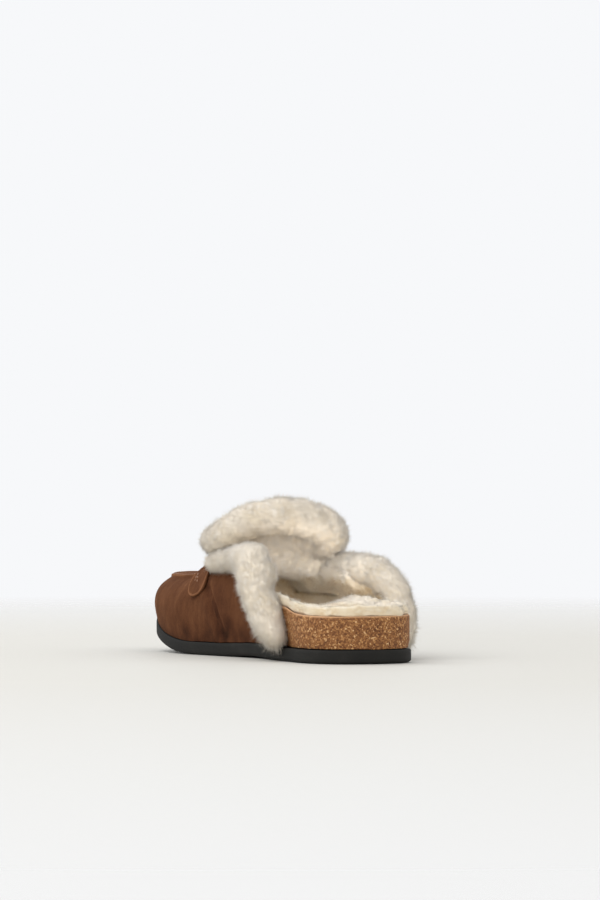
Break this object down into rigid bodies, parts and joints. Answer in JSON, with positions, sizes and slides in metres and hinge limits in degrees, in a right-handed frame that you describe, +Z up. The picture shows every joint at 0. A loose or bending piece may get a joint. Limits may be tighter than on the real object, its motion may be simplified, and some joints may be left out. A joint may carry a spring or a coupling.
{
  "type": "suede clog",
  "caption": "Backless right clog with a suede loafer upper, saddle strap, shearling collar and tongue roll, fleece insole, cork footbed and black outsole with toe spring.",
  "frame": {"origin": "centre of the overall box on the floor", "axes": "+X from toe to heel, +Y to the outer (lateral) side, +Z up"},
  "size_m": [0.26, 0.1052, 0.0966],
  "materials": {
    "suede": "matte napped suede",
    "shearling": "deep curly pile",
    "cork": "pressed cork grain, satin",
    "outsole_rubber": "matte black foam rubber"
  },
  "bodies": {
    "root": {"outsole": "outsole_rubber", "footbed": "cork", "insole": "shearling", "upper": "suede", "saddle_strap": "suede", "tongue": "suede", "fur_trim_medial": "shearling", "fur_trim_lateral": "shearling", "tongue_fur": "shearling"}
  },
  "joints": []
}
